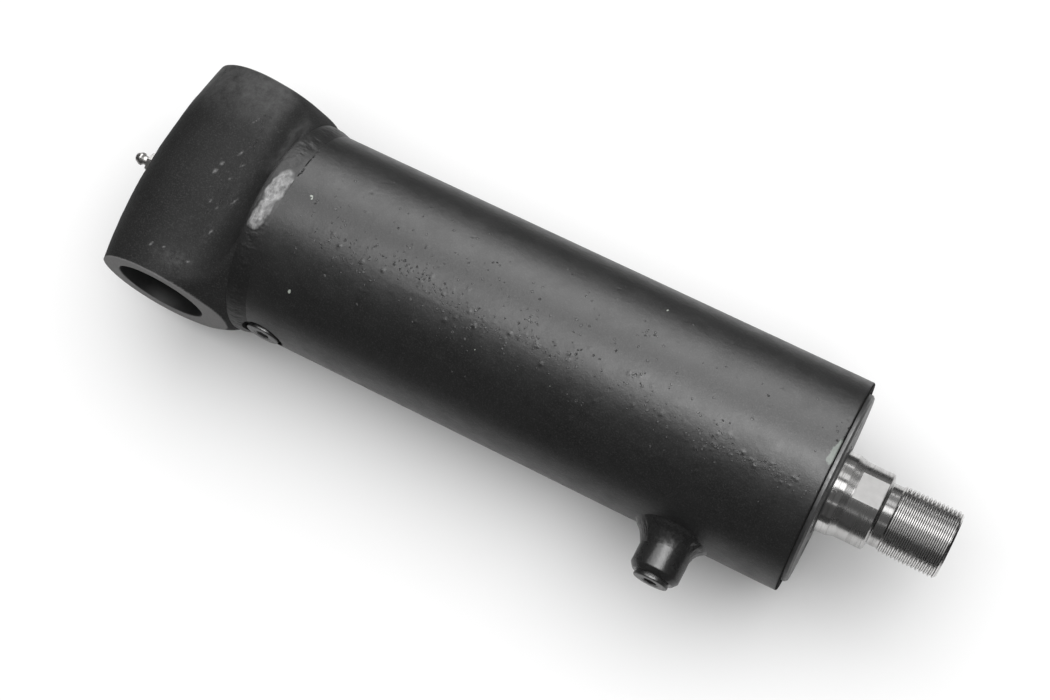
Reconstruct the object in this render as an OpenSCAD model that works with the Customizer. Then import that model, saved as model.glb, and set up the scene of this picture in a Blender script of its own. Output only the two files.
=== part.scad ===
// Double-acting hydraulic cylinder with a forged pin eye, a welded base and a threaded rod end.
// The origin is the centre of the pin eye. +X runs along the barrel to the rod end,
// the pin runs along Y, both ports face -Y, and +Z is up. All sizes are in millimetres.

/* [Barrel] */
// Outside diameter of the barrel tube
barrel_d = 105; // [100:0.5:108]
// Bore of the barrel tube, which the piston runs in
bore_d = 90; // [88:0.5:91]
// Distance from the pin axis to the open end of the barrel
barrel_end_x = 325.5; // [322:0.5:327]
// Distance from the pin axis to the weld seam between the base and the tube
seam_x = 43; // [42:0.5:44]

/* [Pin eye] */
// Bore of the pin eye
pin_bore_d = 45; // [40:0.5:50]
// Length of the pin eye along the pin
eye_length = 112; // [106:1:116]
// Outside diameter of the pin eye at its middle
eye_d = 73; // [70:0.5:75]
// Radius of the crown along the pin, which makes the eye thinner at its ends
eye_crown_r = 300; // [250:10:500]

/* [Rod] */
// Diameter of the ground rod
rod_d = 40; // [38:0.5:42]
// Diameter of the turned neck with the wrench flats
neck_d = 37.6; // [35:0.1:37.6]
// Distance across the two wrench flats
flats_af = 35; // [33:0.5:36]
// How far the flats are turned from straight up toward +y, in degrees
flats_turn = 9; // [0:1:45]
// Outside diameter of the rod end thread
thread_d = 33; // [32:0.5:34]
// Length of the rod end thread
thread_length = 29; // [24:0.5:34]
// Distance that the rod extends
stroke = 155; // [120:1:155]

/* [Ports] */
// Distance from the pin axis to the port in the base
cap_port_x = 55.5; // [55:0.5:57]
// Distance from the pin axis to the port near the rod end
rod_port_x = 273.5; // [272:0.5:275]
// Outside diameter of the port boss near the rod end
port_boss_d = 24; // [22:0.5:26]
// Distance from the barrel axis to the tip of the port boss
port_boss_reach = 73.5; // [70:0.5:76]
// Diameter of the plug flanges
plug_flange_d = 17; // [16:0.5:18]
// Distance across the flats of the plug sockets
plug_key = 6; // [5:0.5:6.5]

/* [Hidden] */
$fn = 96;

// Small distances that repeat
eps = 0.5;
touch = 0.02;
running_gap = 0.03;

// Barrel and base
barrel_r = barrel_d / 2;
bore_r = bore_d / 2;
barrel_chamfer = 1.5;
weld_half = 5;
weld_root_r = 48.5;
weld_crown_r = barrel_r + 2;
weld_toe_r = weld_crown_r - 0.5;
spigot_r = bore_r - 0.05;
spigot_end_x = 66;
nut_pocket_r = 27;
nut_pocket_x = 46;
base_shoulder_x = 38;
eye_half = eye_length / 2;
eye_r = eye_d / 2;
eye_edge = 2;
neck_reach_r = 61.5;
neck_reach_x = 18;
neck_flare_x = 16;

// Gland, from its inner nose to its outer face
gland_nose_x = 262;
gland_land_x = 283;
gland_thread_x = 294;
gland_face_x = 328;
gland_nose_r = 41;
gland_seat_r = 47.5;
gland_rim_r = 47;
gland_rim_x = barrel_end_x - 1.5;
gland_bore_r = rod_d / 2 + 0.4;
seal_bore_r = rod_d / 2 + running_gap;
spanner_circle_r = 34;
spanner_hole_r = 4;

// Grooves around the rod: where each starts, how long it is, and its outer radius
inner_guide = [266, 12, 22.5];
buffer_groove = [283, 6, 25];
seal_groove = [294, 8, 25.5];
outer_guide = [306, 12, 22.5];
wiper_groove = [322.5, 3.5, 25];
wiper_mouth_r = 22.3;

// Gland O-ring groove in the smooth land
gland_groove_x = 285.5;
gland_groove_end_x = 291.5;
gland_groove_r = 41.5;
gland_backup_length = 1.8;

// Piston, nut and rod tail
piston_rear_x = 66.2;
piston_length = 40;
piston_front_x = piston_rear_x + piston_length;
piston_r = bore_r - 0.3;
ring_r = bore_r - running_gap;
wear_groove_r = 42.3;
wear_groove_length = 8;
wear_rear_x = piston_rear_x + 4;
wear_front_x = piston_front_x - 4 - wear_groove_length;
seal_groove_r = 38.5;
piston_seal_x = piston_rear_x + 15.5;
piston_seal_length = 9;
piston_seal_r = 42.6;
tail_r = 13.5;
nut_af = 41;
nut_length = 16;
nut_x = piston_rear_x - nut_length;
tail_x = nut_x - 1.5;
static_oring_x = piston_rear_x + 32;
static_oring_length = 3.4;
static_groove_r = tail_r + 2;

// Rod end
rod_shoulder_x = 334;
neck_x = 337.5;
neck_end_x = 351;
relief_x = 352.5;
relief_r = 15.2;
thread_x = 357.5;
thread_end_x = thread_x + thread_length;
thread_chamfer = 1.5;

// Ports and plugs
port_thread_r = 6;
port_shank_length = 9;
plug_flange_r = plug_flange_d / 2;
plug_flange_h = 1.6;
plug_seal_h = 0.8;
plug_key_depth = 5;
cap_spotface_r = 10.8;
cap_spotface_y = barrel_r - 2;
cap_thread_depth = 12;
port_passage_r = 4;
boss_r = port_boss_d / 2;
boss_root = bore_r + 2;
boss_thread_root = boss_root + 6;
boss_chamfer = 2;
fillet_reach = 12.5;
fillet_root = bore_r + 1;
fillet_tip = barrel_r + 8.5;

// Grease fitting
fitting_seat_x = -36;
fitting_spotface_r = 7;
fitting_hole_r = 4;
fitting_hex_af = 9;
fitting_hex_length = 4;
fitting_tip_x = -47.5;
fitting_thread_r = 3.95;
fitting_thread_end_x = -29;
fitting_head_r = 3.25;
fitting_neck_r = 2.3;
fitting_chamber_r = 1.75;
fitting_mouth_r = 1.1;
fitting_mouth_x = -46.6;
fitting_ball_r = 1.5;
fitting_ball_x = -45.52;
fitting_spring_x = -43.95;
fitting_spring_end_x = -31;
fitting_lip_x = -30.5;

// A shape whose outline is given as [x, radius] points, turned about the X axis
module turned(outline) {
    rotate([0, 90, 0])
        rotate_extrude()
            polygon([for (p = outline) [p[1], p[0]]]);
}

// A straight round bar along X between two places
module x_bar(x0, x1, r) {
    translate([x0, 0, 0])
        rotate([0, 90, 0])
            cylinder(h = x1 - x0, r = r);
}

// A plain ring along X
module x_ring(x0, x1, r_out, r_in) {
    turned([[x0, r_in], [x1, r_in], [x1, r_out], [x0, r_out]]);
}

// A round bar along -Y between two distances from the barrel axis
module port_bar(x, y0, y1, r0, r1) {
    translate([x, -y0, 0])
        rotate([90, 0, 0])
            cylinder(h = y1 - y0, r1 = r0, r2 = r1);
}

function eye_profile_r(y) = eye_r - eye_crown_r + sqrt(eye_crown_r * eye_crown_r - y * y);

module barrel_tube() {
    end = barrel_end_x;
    color([0.16, 0.16, 0.17])
        difference() {
            turned([
                [seam_x, weld_root_r],
                [seam_x + weld_half, barrel_r],
                [end - barrel_chamfer, barrel_r],
                [end, barrel_r - barrel_chamfer],
                [end, gland_seat_r],
                [gland_thread_x, gland_seat_r],
                [gland_thread_x - 2, bore_r],
                [seam_x, bore_r]
            ]);
            port_bar(rod_port_x, bore_r - 2, barrel_r, port_passage_r, port_passage_r);
            port_bar(rod_port_x, boss_root, barrel_r + eps, boss_r + touch, boss_r + touch);
            port_bar(cap_port_x, bore_r - 2, barrel_r + eps, port_thread_r, port_thread_r);
            port_bar(cap_port_x, cap_spotface_y, barrel_r + eps, cap_spotface_r, cap_spotface_r);
        }
}

// The crowned barrel-shaped boss around the pin
module eye_boss() {
    steps = 10;
    rotate([90, 0, 0])
        rotate_extrude()
            polygon(concat(
                [[0, -eye_half], [eye_profile_r(eye_half) - eye_edge, -eye_half]],
                [for (i = [0 : 2 * steps])
                    let (y = (eye_half - eye_edge) * (i / steps - 1))
                    [eye_profile_r(y), y]],
                [[eye_profile_r(eye_half) - eye_edge, eye_half], [0, eye_half]]
            ));
}

// Side outline of the neck: straight from the eye, then a hollow curve out to the round base
module neck_outline() {
    r_end = eye_profile_r(eye_half);
    flare_r = weld_toe_r - r_end - 0.5;
    steps = 12;
    flare = [for (i = [0 : steps])
        let (a = 90 * i / steps)
        [neck_flare_x + (base_shoulder_x - neck_flare_x) * sin(a), r_end + flare_r * (1 - cos(a))]];
    polygon(concat(
        [[0, r_end]], flare, [[seam_x, barrel_r], [seam_x, -barrel_r]],
        [for (i = [steps : -1 : 0]) [flare[i][0], -flare[i][1]]],
        [[0, -r_end]]
    ));
}

module base_eye() {
    color([0.2, 0.2, 0.21])
        difference() {
            union() {
                eye_boss();
                intersection() {
                    rotate([90, 0, 0])
                        translate([0, 0, -eye_half])
                            linear_extrude(height = eye_length)
                                neck_outline();
                    turned([
                        [-1, 0], [-1, neck_reach_r], [neck_reach_x, neck_reach_r],
                        [base_shoulder_x, weld_toe_r],
                        [seam_x - weld_half + touch, weld_toe_r],
                        [seam_x, weld_root_r],
                        [seam_x, 0]
                    ]);
                }
                x_bar(seam_x - 1, spigot_end_x, spigot_r);
            }
            rotate([90, 0, 0])
                cylinder(h = eye_length + 2 * eps, r = pin_bore_d / 2, center = true);
            x_bar(nut_pocket_x, spigot_end_x + eps, nut_pocket_r);
            port_bar(cap_port_x, barrel_r - cap_thread_depth, barrel_r + eps, port_thread_r, port_thread_r);
            port_bar(cap_port_x, nut_pocket_r - 3, barrel_r, port_passage_r, port_passage_r);
            x_bar(-eye_r - eps, fitting_seat_x, fitting_spotface_r);
            x_bar(fitting_seat_x - eps, -pin_bore_d / 2 + 3, fitting_hole_r);
        }
}

// The bead fills the groove at the seam; the seat of the base port is cut into it
module base_weld_bead() {
    color([0.3, 0.3, 0.31])
        difference() {
            turned([
                [seam_x - weld_half + touch, weld_toe_r],
                [seam_x, weld_root_r],
                [seam_x + weld_half, barrel_r],
                [seam_x + 3.4, weld_crown_r - 0.3],
                [seam_x + 1.5, weld_crown_r + 0.2],
                [seam_x - 1.5, weld_crown_r + 0.2],
                [seam_x - 3.6, weld_crown_r]
            ]);
            port_bar(cap_port_x, cap_spotface_y, weld_crown_r + 1, cap_spotface_r, cap_spotface_r);
        }
}

module rod_port_boss() {
    color([0.12, 0.12, 0.13])
        difference() {
            union() {
                port_bar(rod_port_x, boss_root, port_boss_reach - boss_chamfer, boss_r, boss_r);
                port_bar(rod_port_x, port_boss_reach - boss_chamfer, port_boss_reach, boss_r, boss_r - boss_chamfer);
            }
            port_bar(rod_port_x, boss_thread_root, port_boss_reach + eps, port_thread_r, port_thread_r);
            port_bar(rod_port_x, boss_root - eps, port_boss_reach, port_passage_r, port_passage_r);
            x_bar(rod_port_x - 2 * boss_r, rod_port_x + 2 * boss_r, bore_r);
        }
}

// Weld fillet between the port boss and the round barrel
module rod_port_weld() {
    color([0.14, 0.14, 0.15])
        difference() {
            port_bar(rod_port_x, fillet_root, fillet_tip, boss_r + fillet_reach, boss_r + 0.5);
            port_bar(rod_port_x, bore_r, fillet_tip + eps, boss_r + touch, boss_r + touch);
            x_bar(rod_port_x - 60, rod_port_x + 60, barrel_r + touch);
        }
}

// A flanged screw plug with a hexagon socket; the flange stands on a seal at the given distance
module screw_plug(x, seat) {
    flange = seat + plug_seal_h;
    top = flange + plug_flange_h;
    color([0.07, 0.07, 0.08])
        difference() {
            union() {
                port_bar(x, seat - port_shank_length, flange + eps, port_thread_r - touch, port_thread_r - touch);
                port_bar(x, flange, top - 0.6, plug_flange_r, plug_flange_r);
                port_bar(x, top - 0.6, top, plug_flange_r, plug_flange_r - 0.6);
            }
            translate([x, -(top - plug_key_depth), 0])
                rotate([90, 0, 0])
                    cylinder(h = plug_key_depth + eps, r = plug_key / sqrt(3), $fn = 6);
        }
}

module plug_seal(x, seat) {
    color([0.05, 0.05, 0.05])
        difference() {
            port_bar(x, seat, seat + plug_seal_h, plug_flange_r - 0.6, plug_flange_r - 0.6);
            port_bar(x, seat - eps, seat + plug_seal_h + eps, port_thread_r, port_thread_r);
        }
}

module rod_port_plug() screw_plug(rod_port_x, port_boss_reach);
module rod_port_plug_seal() plug_seal(rod_port_x, port_boss_reach);
module cap_port_plug() screw_plug(cap_port_x, cap_spotface_y);
module cap_port_plug_seal() plug_seal(cap_port_x, cap_spotface_y);

// Cuts one groove around the rod out of the gland
module rod_groove(g) {
    x_bar(g[0], g[0] + g[1], g[2] + touch);
}

module gland() {
    color([0.25, 0.25, 0.26])
        difference() {
            turned([
                [gland_nose_x, 0],
                [gland_nose_x, gland_nose_r],
                [gland_land_x - 3, gland_nose_r],
                [gland_land_x, bore_r - 0.05],
                [gland_groove_x, bore_r - 0.05],
                [gland_groove_x, gland_groove_r],
                [gland_groove_end_x, gland_groove_r],
                [gland_groove_end_x, bore_r - 0.05],
                [gland_thread_x - 1, bore_r - 0.05],
                [gland_thread_x + 1, gland_seat_r - touch],
                [gland_rim_x, gland_seat_r - touch],
                [gland_rim_x, gland_rim_r],
                [gland_face_x - 1, gland_rim_r],
                [gland_face_x, gland_rim_r - 1],
                [gland_face_x, 0]
            ]);
            x_bar(gland_nose_x - eps, gland_face_x + eps, gland_bore_r);
            rod_groove(inner_guide);
            rod_groove(buffer_groove);
            rod_groove(seal_groove);
            rod_groove(outer_guide);
            rod_groove(wiper_groove);
            x_bar(wiper_groove[0] + eps, gland_face_x + eps, wiper_mouth_r);
            for (a = [0 : 90 : 270])
                rotate([a + 45, 0, 0])
                    translate([0, 0, spanner_circle_r])
                        x_bar(gland_face_x - 6, gland_face_x + eps, spanner_hole_r);
        }
}

module gland_oring() {
    color([0.04, 0.04, 0.04])
        x_ring(gland_groove_x + gland_backup_length + touch, gland_groove_end_x - 0.2,
            bore_r - touch, gland_groove_r + touch);
}

module gland_backup_ring() {
    color([0.85, 0.84, 0.78])
        x_ring(gland_groove_x + touch, gland_groove_x + gland_backup_length,
            bore_r - touch, gland_groove_r + touch);
}

// A plain ring that fills one groove around the rod and clears the rod
module rod_ring(g) {
    x_ring(g[0] + 0.1, g[0] + g[1] - 0.1, g[2], seal_bore_r);
}

// A lip seal: a ring with a V-shaped groove in the face towards the pressure
module lip_ring(g, depth) {
    x0 = g[0] + 0.1;
    x1 = g[0] + g[1] - 0.1;
    middle = (seal_bore_r + g[2]) / 2;
    half = (g[2] - seal_bore_r) / 4;
    turned([
        [x0, seal_bore_r], [x1, seal_bore_r], [x1, g[2]], [x0, g[2]],
        [x0, middle + half], [x0 + depth, middle], [x0, middle - half]
    ]);
}

module rod_guide_ring_outer() {
    color([0.35, 0.2, 0.12]) rod_ring(outer_guide);
}

module rod_guide_ring_inner() {
    color([0.35, 0.2, 0.12]) rod_ring(inner_guide);
}

module rod_buffer_seal() {
    color([0.1, 0.35, 0.3]) lip_ring(buffer_groove, 1.5);
}

module rod_seal() {
    color([0.75, 0.15, 0.1]) lip_ring(seal_groove, 3.5);
}

// The wiper fills its groove, and its lip reaches out along the rod past the gland
module rod_wiper() {
    x0 = wiper_groove[0] + 0.1;
    x1 = wiper_groove[0] + wiper_groove[1] - 0.1;
    lip_x = gland_face_x + 0.8;
    color([0.06, 0.06, 0.07])
        turned([
            [x0, seal_bore_r + 1.5], [x1, seal_bore_r + 0.5], [lip_x, seal_bore_r],
            [lip_x, seal_bore_r + 0.8], [x1, wiper_mouth_r - 0.3],
            [x1, wiper_groove[2]], [x0, wiper_groove[2]]
        ]);
}

module grease_fitting_body() {
    hex_x = fitting_seat_x - fitting_hex_length;
    color([0.45, 0.45, 0.43])
        difference() {
            union() {
                x_bar(fitting_seat_x - eps, fitting_thread_end_x, fitting_thread_r);
                translate([hex_x, 0, 0])
                    rotate([0, 90, 0])
                        cylinder(h = fitting_hex_length, r = fitting_hex_af / sqrt(3), $fn = 6);
                turned([
                    [hex_x, 0], [hex_x, 3.4], [hex_x - 1.4, fitting_neck_r],
                    [hex_x - 3, fitting_neck_r], [hex_x - 4.2, fitting_head_r],
                    [hex_x - 5, fitting_head_r], [fitting_tip_x + 0.5, 2.2],
                    [fitting_tip_x, 1.7], [fitting_tip_x, 0]
                ]);
            }
            x_bar(fitting_tip_x - eps, fitting_mouth_x + touch, fitting_mouth_r);
            x_bar(fitting_mouth_x, fitting_lip_x, fitting_chamber_r);
            x_bar(fitting_lip_x - touch, fitting_thread_end_x + eps, 1.2);
        }
}

// The spring's wire is drawn as a stack of flat rings joined by one thin rib
module grease_fitting_spring() {
    turns = 9;
    wire = 0.35;
    pitch = (fitting_spring_end_x - fitting_spring_x - wire) / (turns - 1);
    r_out = 1.5;
    color([0.6, 0.6, 0.6])
        union() {
            for (i = [0 : turns - 1])
                x_ring(fitting_spring_x + i * pitch, fitting_spring_x + i * pitch + wire, r_out, r_out - wire);
            translate([fitting_spring_x, -wire / 2, r_out - wire])
                cube([fitting_spring_end_x - fitting_spring_x, wire, wire * 0.8]);
        }
}

module grease_fitting_ball() {
    color([0.8, 0.8, 0.8])
        translate([fitting_ball_x, 0, 0])
            sphere(r = fitting_ball_r);
}

module rod() {
    rod_r = rod_d / 2;
    neck_r = neck_d / 2;
    thread_r = thread_d / 2;
    color([0.75, 0.76, 0.78])
        difference() {
            turned([
                [tail_x, 0], [tail_x, tail_r - 1], [tail_x + 1, tail_r],
                [piston_front_x, tail_r], [piston_front_x, rod_r],
                [rod_shoulder_x, rod_r], [neck_x, neck_r], [neck_end_x, neck_r],
                [relief_x, relief_r], [thread_x, relief_r], [thread_x + 1.3, thread_r],
                [thread_end_x - thread_chamfer, thread_r],
                [thread_end_x, thread_r - thread_chamfer], [thread_end_x, 0]
            ]);
            for (side = [0, 180])
                rotate([side - flats_turn, 0, 0])
                    translate([neck_x, -neck_d, flats_af / 2])
                        cube([neck_end_x - neck_x + 2, 2 * neck_d, neck_r]);
        }
}

module piston() {
    chamfer = 1;
    color([0.5, 0.5, 0.5])
        turned([
            [piston_rear_x, tail_r + touch],
            [static_oring_x, tail_r + touch],
            [static_oring_x, static_groove_r],
            [static_oring_x + static_oring_length, static_groove_r],
            [static_oring_x + static_oring_length, tail_r + touch],
            [piston_front_x, tail_r + touch],
            [piston_front_x, piston_r - chamfer], [piston_front_x - chamfer, piston_r],
            [wear_front_x + wear_groove_length, piston_r],
            [wear_front_x + wear_groove_length, wear_groove_r],
            [wear_front_x, wear_groove_r],
            [wear_front_x, piston_r],
            [piston_seal_x + piston_seal_length, piston_r],
            [piston_seal_x + piston_seal_length, seal_groove_r],
            [piston_seal_x, seal_groove_r],
            [piston_seal_x, piston_r],
            [wear_rear_x + wear_groove_length, piston_r],
            [wear_rear_x + wear_groove_length, wear_groove_r],
            [wear_rear_x, wear_groove_r],
            [wear_rear_x, piston_r],
            [piston_rear_x + chamfer, piston_r], [piston_rear_x, piston_r - chamfer]
        ]);
}

module piston_static_oring() {
    color([0.04, 0.04, 0.04])
        x_ring(static_oring_x + touch, static_oring_x + static_oring_length - touch,
            static_groove_r - touch, tail_r + touch);
}

module piston_nut() {
    color([0.55, 0.55, 0.52])
        difference() {
            intersection() {
                translate([nut_x, 0, 0])
                    rotate([0, 90, 0])
                        cylinder(h = nut_length, r = nut_af / sqrt(3), $fn = 6);
                turned([
                    [nut_x, 0], [nut_x, nut_af / 2 - 0.5], [nut_x + 2, nut_af / sqrt(3) + 0.5],
                    [piston_rear_x, nut_af / sqrt(3) + 0.5], [piston_rear_x, 0]
                ]);
            }
            x_bar(nut_x - eps, piston_rear_x + eps, tail_r + touch);
        }
}

module piston_seal() {
    color([0.2, 0.25, 0.3])
        x_ring(piston_seal_x + 0.1, piston_seal_x + piston_seal_length - 0.1, ring_r, piston_seal_r);
}

module piston_seal_energizer() {
    color([0.04, 0.04, 0.04])
        x_ring(piston_seal_x + 0.6, piston_seal_x + piston_seal_length - 0.6,
            piston_seal_r - touch, seal_groove_r + running_gap);
}

module wear_ring(x) {
    color([0.35, 0.2, 0.12])
        x_ring(x + 0.1, x + wear_groove_length - 0.1, ring_r, wear_groove_r + running_gap);
}

module piston_wear_ring_front() wear_ring(wear_front_x);
module piston_wear_ring_rear() wear_ring(wear_rear_x);

barrel_tube();
base_eye();
base_weld_bead();
rod_port_boss();
rod_port_weld();
rod_port_plug();
rod_port_plug_seal();
cap_port_plug();
cap_port_plug_seal();
gland();
gland_oring();
gland_backup_ring();
rod_guide_ring_outer();
rod_guide_ring_inner();
rod_buffer_seal();
rod_seal();
rod_wiper();
grease_fitting_body();
grease_fitting_spring();
grease_fitting_ball();
rod();
piston();
piston_static_oring();
piston_nut();
piston_seal();
piston_seal_energizer();
piston_wear_ring_front();
piston_wear_ring_rear();
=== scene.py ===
"""A hydraulic cylinder with a forged pin eye, two plugged ports and a threaded rod end."""

import math

import bmesh
import bpy
import numpy as np
from mathutils import Matrix, Vector, noise


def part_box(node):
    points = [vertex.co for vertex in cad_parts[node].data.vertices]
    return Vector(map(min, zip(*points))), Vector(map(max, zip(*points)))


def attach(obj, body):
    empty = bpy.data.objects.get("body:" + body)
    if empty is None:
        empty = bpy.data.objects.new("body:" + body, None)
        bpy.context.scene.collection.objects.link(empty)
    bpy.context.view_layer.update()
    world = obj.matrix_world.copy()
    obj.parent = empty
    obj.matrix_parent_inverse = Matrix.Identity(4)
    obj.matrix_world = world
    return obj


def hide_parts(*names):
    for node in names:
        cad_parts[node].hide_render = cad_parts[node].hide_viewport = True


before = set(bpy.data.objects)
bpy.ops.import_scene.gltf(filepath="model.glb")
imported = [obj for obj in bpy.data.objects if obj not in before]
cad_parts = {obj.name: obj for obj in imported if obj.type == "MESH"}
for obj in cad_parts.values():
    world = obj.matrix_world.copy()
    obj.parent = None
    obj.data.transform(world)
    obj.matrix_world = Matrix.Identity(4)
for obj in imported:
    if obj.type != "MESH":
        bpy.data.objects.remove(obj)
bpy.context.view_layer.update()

MM = 0.001
TAU = 2 * math.pi


# ------------------------ sizes from the frame

barrel_low, barrel_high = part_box("barrel_tube")
_, eye_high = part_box("base_eye")
bead_low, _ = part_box("base_weld_bead")
rod_low, rod_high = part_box("rod")
boss_low, boss_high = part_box("rod_port_boss")
rod_plug_low, rod_plug_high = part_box("rod_port_plug")
cap_plug_low, cap_plug_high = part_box("cap_port_plug")

BARREL_R = barrel_high.z / MM
BARREL_END = barrel_high.x / MM
SEAM_X = barrel_low.x / MM
EYE_HALF = eye_high.y / MM
ROD_R = rod_high.z / MM
ROD_END = rod_high.x / MM
BOSS_X = (boss_low.x + boss_high.x) / 2 / MM
BOSS_R = (boss_high.x - boss_low.x) / 2 / MM
BOSS_TIP = -boss_low.y / MM
CAP_PORT_X = (cap_plug_low.x + cap_plug_high.x) / 2 / MM
PLUG_R = (rod_plug_high.x - rod_plug_low.x) / 2 / MM
ROD_PLUG_TOP = -rod_plug_low.y / MM
CAP_PLUG_TOP = -cap_plug_low.y / MM
FLOOR_GAP = 0.0002
FLOOR_Z = bead_low.z - FLOOR_GAP

# One degree round the barrel, as a length of arc in mm
DEGREE = BARREL_R * math.pi / 180

# Sizes that the frame's boxes don't show, in millimetres, as in the CAD source
EYE_R = 36.5
PIN_R = 22.5
EYE_CROWN_R = 300.0
SPOTFACE_R = 10.8
SPOTFACE_Y = BARREL_R - 2.0
GLAND_SEAT_R = 47.5
BORE_R = 45.0
NECK_R = 18.8
FLAT_HALF = 17.5
FLAT_TURN = math.radians(9)
THREAD_R = 16.5
THREAD_PITCH = 2.0
THREAD_START = 357.5
RELIEF_R = 15.2

# Corners of one pitch of the thread: place along it as a fraction, and height over the root
THREAD_PROFILE = ((0.0, 1.0), (0.22, 1.0), (0.365, 0.5), (0.51, 0.0), (0.73, 0.0), (0.865, 0.5))

# Corners of a flat card, in order round it
SQUARE = ((-1, -1), (1, -1), (1, 1), (-1, 1))


# ------------------------ camera

def make_camera():
    """The photograph's view: high over the barrel, rolled a little to the right."""
    azimuth, elevation, roll = (math.radians(d) for d in (38.305, 71.29, -11.11))
    target = Vector((0.1715, -0.0033, 0.0))
    distance = 0.915
    back = Vector((
        math.sin(azimuth) * math.cos(elevation),
        -math.cos(azimuth) * math.cos(elevation),
        math.sin(elevation),
    ))
    right = Vector((math.cos(azimuth), math.sin(azimuth), 0))
    up = back.cross(right)
    turn = Matrix((right, up, back)).transposed() @ Matrix.Rotation(roll, 3, "Z")
    data = bpy.data.cameras.new("camera")
    data.sensor_width = 36
    data.lens = 66.45
    data.clip_start, data.clip_end = 0.01, 20
    camera = bpy.data.objects.new("camera", data)
    camera.matrix_world = Matrix.Translation(target + back * distance) @ turn.to_4x4()
    bpy.context.scene.collection.objects.link(camera)
    bpy.context.scene.camera = camera


# ------------------------ mesh helpers

def new_object(name, vertices, faces, sharp=32):
    """A smooth-shaded mesh object whose edges over the given angle stay sharp. Vertices in mm."""
    mesh = bpy.data.meshes.new(name)
    mesh.from_pydata([tuple(c * MM for c in v) for v in vertices], [], faces)
    obj = bpy.data.objects.new(name, mesh)
    bpy.context.scene.collection.objects.link(obj)
    tidy_mesh(obj, sharp)
    return obj


def tidy_mesh(obj, sharp=32):
    merge = 1e-6
    bm = bmesh.new()
    bm.from_mesh(obj.data)
    bmesh.ops.remove_doubles(bm, verts=bm.verts, dist=merge)
    bmesh.ops.dissolve_degenerate(bm, edges=bm.edges, dist=merge)
    bmesh.ops.recalc_face_normals(bm, faces=bm.faces)
    bm.to_mesh(obj.data)
    bm.free()
    shade(obj, sharp)


def shade(obj, sharp=32):
    obj.data.polygons.foreach_set("use_smooth", [True] * len(obj.data.polygons))
    obj.data.set_sharp_from_angle(angle=math.radians(sharp))


def rounded(corners, steps=4):
    """An outline from (a, b, radius) corners, with an arc in place of each corner that has a radius."""
    points = []
    count = len(corners)
    for i, (a, b, radius) in enumerate(corners):
        if radius <= 0 or i in (0, count - 1):
            points.append((a, b))
            continue
        p = Vector((a, b))
        u = (Vector(corners[i - 1][:2]) - p).normalized()
        v = (Vector(corners[i + 1][:2]) - p).normalized()
        half = u.angle(v) / 2
        reach = radius / math.tan(half)
        centre = p + (u + v).normalized() * (radius / math.sin(half))
        start, end = p + u * reach - centre, p + v * reach - centre
        for k in range(steps + 1):
            t = k / steps
            points.append(tuple(centre + start.slerp(end, t) * radius))
    return points


def along_x(a, r, t):
    return (a, r * math.sin(t), r * math.cos(t))


def along_y(a, r, t):
    return (r * math.sin(t), a, r * math.cos(t))


def port_placer(x):
    """Places a turned outline on a port's axis: the outline's a is the distance from the barrel axis."""
    def place(a, r, t):
        return (x + r * math.cos(t), -a, r * math.sin(t))
    return place


def turned(name, outline, place=along_x, segments=192, sharp=32):
    """A turned solid. The outline is a list of (a, r); r = 0 makes a pole."""
    vertices, faces, rings = [], [], []
    for a, r in outline:
        if r <= 1e-6:
            rings.append([len(vertices)] * segments)
            vertices.append(place(a, 0, 0))
            continue
        rings.append([len(vertices) + k for k in range(segments)])
        vertices += [place(a, r, TAU * k / segments) for k in range(segments)]
    for one, two in zip(rings, rings[1:]):
        for k in range(segments):
            n = (k + 1) % segments
            face = list(dict.fromkeys([one[k], one[n], two[n], two[k]]))
            if len(face) > 2:
                faces.append(face)
    return new_object(name, vertices, faces, sharp)


def loop_faces(around, width):
    """Faces of a closed ring built from that many cross-sections, each with width corners."""
    faces = []
    for k in range(around):
        n = (k + 1) % around
        for j in range(width - 1):
            faces.append((k * width + j, n * width + j, n * width + j + 1, k * width + j + 1))
        faces.append((k * width, k * width + width - 1, n * width + width - 1, n * width))
    return faces


def bake_modifiers(obj):
    graph = bpy.context.evaluated_depsgraph_get()
    mesh = bpy.data.meshes.new_from_object(obj.evaluated_get(graph))
    obj.modifiers.clear()
    obj.data = mesh
    mesh.name = obj.name


def combine(obj, other, operation="DIFFERENCE", sharp=32):
    """A boolean of two meshes, applied; the other object is removed."""
    step = obj.modifiers.new("combine", "BOOLEAN")
    step.object = other
    step.operation = operation
    step.solver = "EXACT"
    bake_modifiers(obj)
    bpy.data.objects.remove(other)
    shade(obj, sharp)


def box_object(name, low, high):
    xs, ys, zs = zip(low, high)
    corners = [(x, y, z) for x in xs for y in ys for z in zs]
    faces = [(0, 1, 3, 2), (4, 6, 7, 5), (0, 4, 5, 1), (2, 3, 7, 6), (0, 2, 6, 4), (1, 5, 7, 3)]
    return new_object(name, corners, faces)


def join(obj, *others):
    """Adds the other meshes to obj's and removes them."""
    bm = bmesh.new()
    for o in (obj, *others):
        bm.from_mesh(o.data)
    bm.to_mesh(obj.data)
    bm.free()
    for o in others:
        bpy.data.objects.remove(o)


def get_points(obj):
    points = np.zeros(len(obj.data.vertices) * 3)
    obj.data.vertices.foreach_get("co", points)
    return points.reshape(-1, 3) / MM


def set_points(obj, points):
    obj.data.vertices.foreach_set("co", (points * MM).ravel())
    obj.data.update()


def add_mask(obj, name, values):
    """Stores one number per vertex, for a material to read."""
    mask = obj.data.attributes.new(name, "FLOAT", "POINT")
    mask.data.foreach_set("value", np.asarray(values, np.float32))


def smooth_step(x, low, high):
    """Rises smoothly from 0 at low to 1 at high."""
    t = np.clip((x - low) / (high - low), 0, 1)
    return t * t * (3 - 2 * t)


def hump(x, middle, spread):
    """A bell curve: 1 at the middle, falling away over the spread."""
    return np.exp(-((x - middle) / spread) ** 2)


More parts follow.
